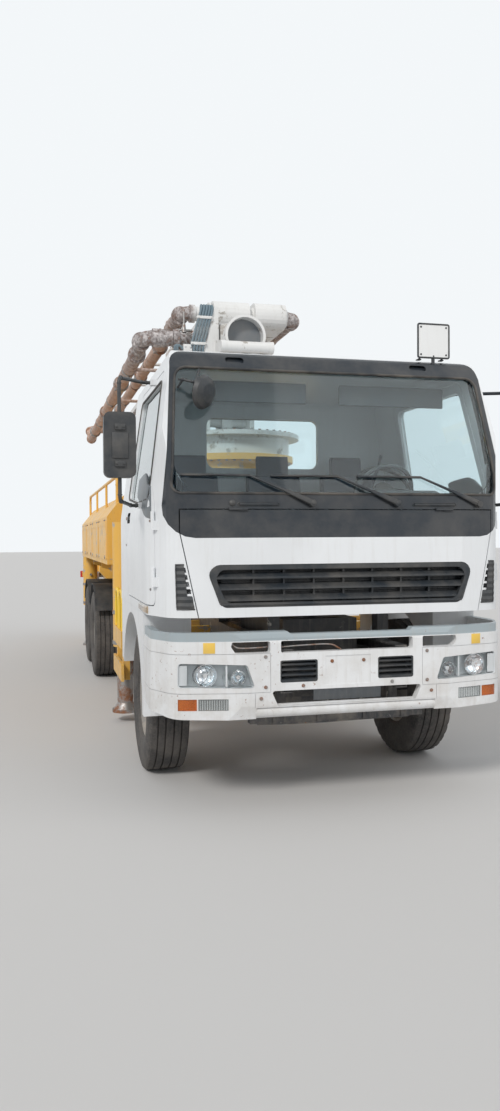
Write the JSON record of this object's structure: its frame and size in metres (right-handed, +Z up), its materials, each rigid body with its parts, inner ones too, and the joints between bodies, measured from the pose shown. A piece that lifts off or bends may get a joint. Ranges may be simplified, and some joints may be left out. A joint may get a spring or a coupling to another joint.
{
  "type": "concrete pump truck",
  "caption": "Three-axle truck with a concrete pump, a rear hopper, four outriggers and a folding placing boom on a slewing ring behind the tilted-window cab.",
  "frame": {"origin": "on the ground, under the middle of the bounding box of the parked truck", "axes": "+X to the truck's left, +Y to its rear, +Z up; the cab faces -Y"},
  "size_m": [3.02, 10.8, 3.9698],
  "materials": {
    "cab_white": "gloss",
    "grey_plastic": "satin",
    "black_plastic": "matt",
    "window_glass": "gloss",
    "lamp_glass": "gloss",
    "machine_yellow": "satin",
    "boom_white": "satin",
    "frame_dark": "satin",
    "worn_steel": "matt",
    "rod_chrome": "gloss",
    "tyre_rubber": "matt"
  },
  "bodies": {
    "chassis": {"chassis_frame": "frame_dark", "cab_shell": "cab_white", "screen_surround": "black_plastic", "bumper": "cab_white", "bumper_vents": "black_plastic", "lamps": "lamp_glass", "cab_glass": "window_glass", "cab_interior": "grey_plastic", "cab_fittings": "black_plastic", "mirrors": "black_plastic", "front_fenders": "cab_white", "engine": "frame_dark", "front_axle": "frame_dark", "rear_bogie": "frame_dark", "mudguards": "black_plastic", "side_tanks": "machine_yellow", "side_guards": "machine_yellow", "pedestal": "machine_yellow", "deck": "machine_yellow", "pump_unit": "worn_steel", "delivery_line": "worn_steel", "hopper": "machine_yellow"},
    "front_lid": {"front_lid": "cab_white", "lid_panel": "black_plastic", "grille": "black_plastic"},
    "door_left": {"door_left": "cab_white", "door_glass_left": "window_glass", "mirror_left": "black_plastic"},
    "knuckle_left": {"knuckle_left": "frame_dark"},
    "front_wheel_left": {"front_wheel_left": "tyre_rubber"},
    "rear_wheel_1_left": {"rear_wheel_1_left": "tyre_rubber"},
    "rear_wheel_2_left": {"rear_wheel_2_left": "tyre_rubber"},
    "arm_front_left": {"arm_front_left": "machine_yellow"},
    "leg_front_left": {"leg_front_left": "worn_steel"},
    "arm_rear_left": {"arm_rear_left": "machine_yellow"},
    "leg_rear_left": {"leg_rear_left": "worn_steel"},
    "door_right": {"door_right": "cab_white", "door_glass_right": "window_glass", "mirror_right": "black_plastic"},
    "knuckle_right": {"knuckle_right": "frame_dark"},
    "front_wheel_right": {"front_wheel_right": "tyre_rubber"},
    "rear_wheel_1_right": {"rear_wheel_1_right": "tyre_rubber"},
    "rear_wheel_2_right": {"rear_wheel_2_right": "tyre_rubber"},
    "arm_front_right": {"arm_front_right": "machine_yellow"},
    "leg_front_right": {"leg_front_right": "worn_steel"},
    "arm_rear_right": {"arm_rear_right": "machine_yellow"},
    "leg_rear_right": {"leg_rear_right": "worn_steel"},
    "agitator": {"agitator": "worn_steel"},
    "grate": {"grate": "frame_dark"},
    "turret": {"turret": "boom_white"},
    "boom_1": {"boom_1": "boom_white"},
    "boom_2": {"boom_2": "boom_white"},
    "boom_3": {"boom_3": "boom_white"},
    "barrel_1": {"barrel_1": "boom_white"},
    "rod_1": {"rod_1": "rod_chrome"},
    "barrel_2": {"barrel_2": "boom_white"},
    "rod_2": {"rod_2": "rod_chrome"},
    "barrel_3": {"barrel_3": "boom_white"},
    "rod_3": {"rod_3": "rod_chrome"}
  },
  "joints": [
    {"name": "slew", "type": "hinge", "parent": "chassis", "child": "turret", "pos_m": [0, -2.1, 2.6], "axis": [0, 0, 1], "range_deg": [-180, 180]},
    {"name": "boom_1_lift", "type": "hinge", "parent": "turret", "child": "boom_1", "pos_m": [-0.15, -2.95, 3.52], "axis": [1, 0, 0], "range_deg": [0, 85]},
    {"name": "boom_2_fold", "type": "hinge", "parent": "boom_1", "child": "boom_2", "pos_m": [-0.15, 4.75, 3.67], "axis": [-1, 0, 0], "range_deg": [0, 180]},
    {"name": "boom_3_fold", "type": "hinge", "parent": "boom_2", "child": "boom_3", "pos_m": [-0.15, -2.65, 3.83], "axis": [1, 0, 0], "range_deg": [0, 180]},
    {"name": "barrel_1_tilt", "type": "hinge", "parent": "turret", "child": "barrel_1", "pos_m": [-0.15, -2.45, 2.85], "axis": [1, 0, 0], "range_deg": [0, 76.49]},
    {"name": "rod_1_slide", "type": "slide", "parent": "barrel_1", "child": "rod_1", "axis": [0, 0.9678, 0.2516], "range_m": [0, 1.08953]},
    {"name": "barrel_2_tilt", "type": "hinge", "parent": "boom_1", "child": "barrel_2", "pos_m": [-0.415, 2.9, 3.42], "axis": [-1, 0, 0], "range_deg": [0, 0.8155]},
    {"name": "rod_2_slide", "type": "slide", "parent": "barrel_2", "child": "rod_2", "axis": [0, 0.9899, 0.1415], "range_m": [0, 0.52041]},
    {"name": "barrel_3_tilt", "type": "hinge", "parent": "boom_2", "child": "barrel_3", "pos_m": [-0.415, -0.7, 3.85], "axis": [-1, 0, 0], "range_deg": [0, 6.74]},
    {"name": "rod_3_slide", "type": "slide", "parent": "barrel_3", "child": "rod_3", "axis": [0, -0.9971, -0.0755], "range_m": [0, 0.46921]},
    {"name": "steer_left", "type": "hinge", "parent": "chassis", "child": "knuckle_left", "pos_m": [0.845, -4.02, 0.54], "axis": [0, 0, 1], "range_deg": [-38, 38]},
    {"name": "steer_right", "type": "hinge", "parent": "chassis", "child": "knuckle_right", "pos_m": [-0.845, -4.02, 0.54], "axis": [0, 0, 1], "range_deg": [-38, 38]},
    {"name": "front_wheel_left_spin", "type": "hinge", "parent": "knuckle_left", "child": "front_wheel_left", "pos_m": [1.02, -4.02, 0.54], "axis": [1, 0, 0], "continuous": true},
    {"name": "rear_wheel_1_left_spin", "type": "hinge", "parent": "chassis", "child": "rear_wheel_1_left", "pos_m": [0.915, 0.68, 0.54], "axis": [1, 0, 0], "continuous": true},
    {"name": "rear_wheel_2_left_spin", "type": "hinge", "parent": "chassis", "child": "rear_wheel_2_left", "pos_m": [0.915, 2.03, 0.54], "axis": [1, 0, 0], "continuous": true},
    {"name": "door_left_open", "type": "hinge", "parent": "chassis", "child": "door_left", "pos_m": [1.20563, -5.105, 1.7], "axis": [0, 0, -1], "range_deg": [0, 70]},
    {"name": "arm_front_left_out", "type": "slide", "parent": "chassis", "child": "arm_front_left", "axis": [1, 0, 0], "range_m": [0, 1.3]},
    {"name": "leg_front_left_down", "type": "slide", "parent": "arm_front_left", "child": "leg_front_left", "axis": [0, 0, -1], "range_m": [0, 0.5]},
    {"name": "arm_rear_left_out", "type": "slide", "parent": "chassis", "child": "arm_rear_left", "axis": [1, 0, 0], "range_m": [0, 1.3]},
    {"name": "leg_rear_left_down", "type": "slide", "parent": "arm_rear_left", "child": "leg_rear_left", "axis": [0, 0, -1], "range_m": [0, 0.5]},
    {"name": "front_wheel_right_spin", "type": "hinge", "parent": "knuckle_right", "child": "front_wheel_right", "pos_m": [-1.02, -4.02, 0.54], "axis": [1, 0, 0], "continuous": true},
    {"name": "rear_wheel_1_right_spin", "type": "hinge", "parent": "chassis", "child": "rear_wheel_1_right", "pos_m": [-0.915, 0.68, 0.54], "axis": [1, 0, 0], "continuous": true},
    {"name": "rear_wheel_2_right_spin", "type": "hinge", "parent": "chassis", "child": "rear_wheel_2_right", "pos_m": [-0.915, 2.03, 0.54], "axis": [1, 0, 0], "continuous": true},
    {"name": "door_right_open", "type": "hinge", "parent": "chassis", "child": "door_right", "pos_m": [-1.20563, -5.105, 1.7], "axis": [0, 0, 1], "range_deg": [0, 70]},
    {"name": "arm_front_right_out", "type": "slide", "parent": "chassis", "child": "arm_front_right", "axis": [-1, 0, 0], "range_m": [0, 1.3]},
    {"name": "leg_front_right_down", "type": "slide", "parent": "arm_front_right", "child": "leg_front_right", "axis": [0, 0, -1], "range_m": [0, 0.5]},
    {"name": "arm_rear_right_out", "type": "slide", "parent": "chassis", "child": "arm_rear_right", "axis": [-1, 0, 0], "range_m": [0, 1.3]},
    {"name": "leg_rear_right_down", "type": "slide", "parent": "arm_rear_right", "child": "leg_rear_right", "axis": [0, 0, -1], "range_m": [0, 0.5]},
    {"name": "lid_open", "type": "hinge", "parent": "chassis", "child": "front_lid", "pos_m": [0, -5.34203, 1.9265], "axis": [-1, 0, 0], "range_deg": [0, 70]},
    {"name": "grate_open", "type": "hinge", "parent": "chassis", "child": "grate", "pos_m": [0, 4.052, 1.516], "axis": [1, 0, 0], "range_deg": [0, 95]},
    {"name": "agitator_turn", "type": "hinge", "parent": "chassis", "child": "agitator", "pos_m": [0, 4.62, 1.12], "axis": [1, 0, 0], "continuous": true}
  ],
  "couplings": [
    {"joint": "barrel_1_tilt", "follows": "boom_1_lift", "ratio": 0.89931},
    {"joint": "rod_1_slide", "follows": "boom_1_lift", "m_per_rad": 0.73374},
    {"joint": "barrel_2_tilt", "follows": "boom_2_fold", "ratio": 0.0042528},
    {"joint": "rod_2_slide", "follows": "boom_2_fold", "m_per_rad": 0.16533},
    {"joint": "barrel_3_tilt", "follows": "boom_3_fold", "ratio": 0.037152},
    {"joint": "rod_3_slide", "follows": "boom_3_fold", "m_per_rad": 0.14904},
    {"joint": "steer_right", "follows": "steer_left", "ratio": 1}
  ]
}
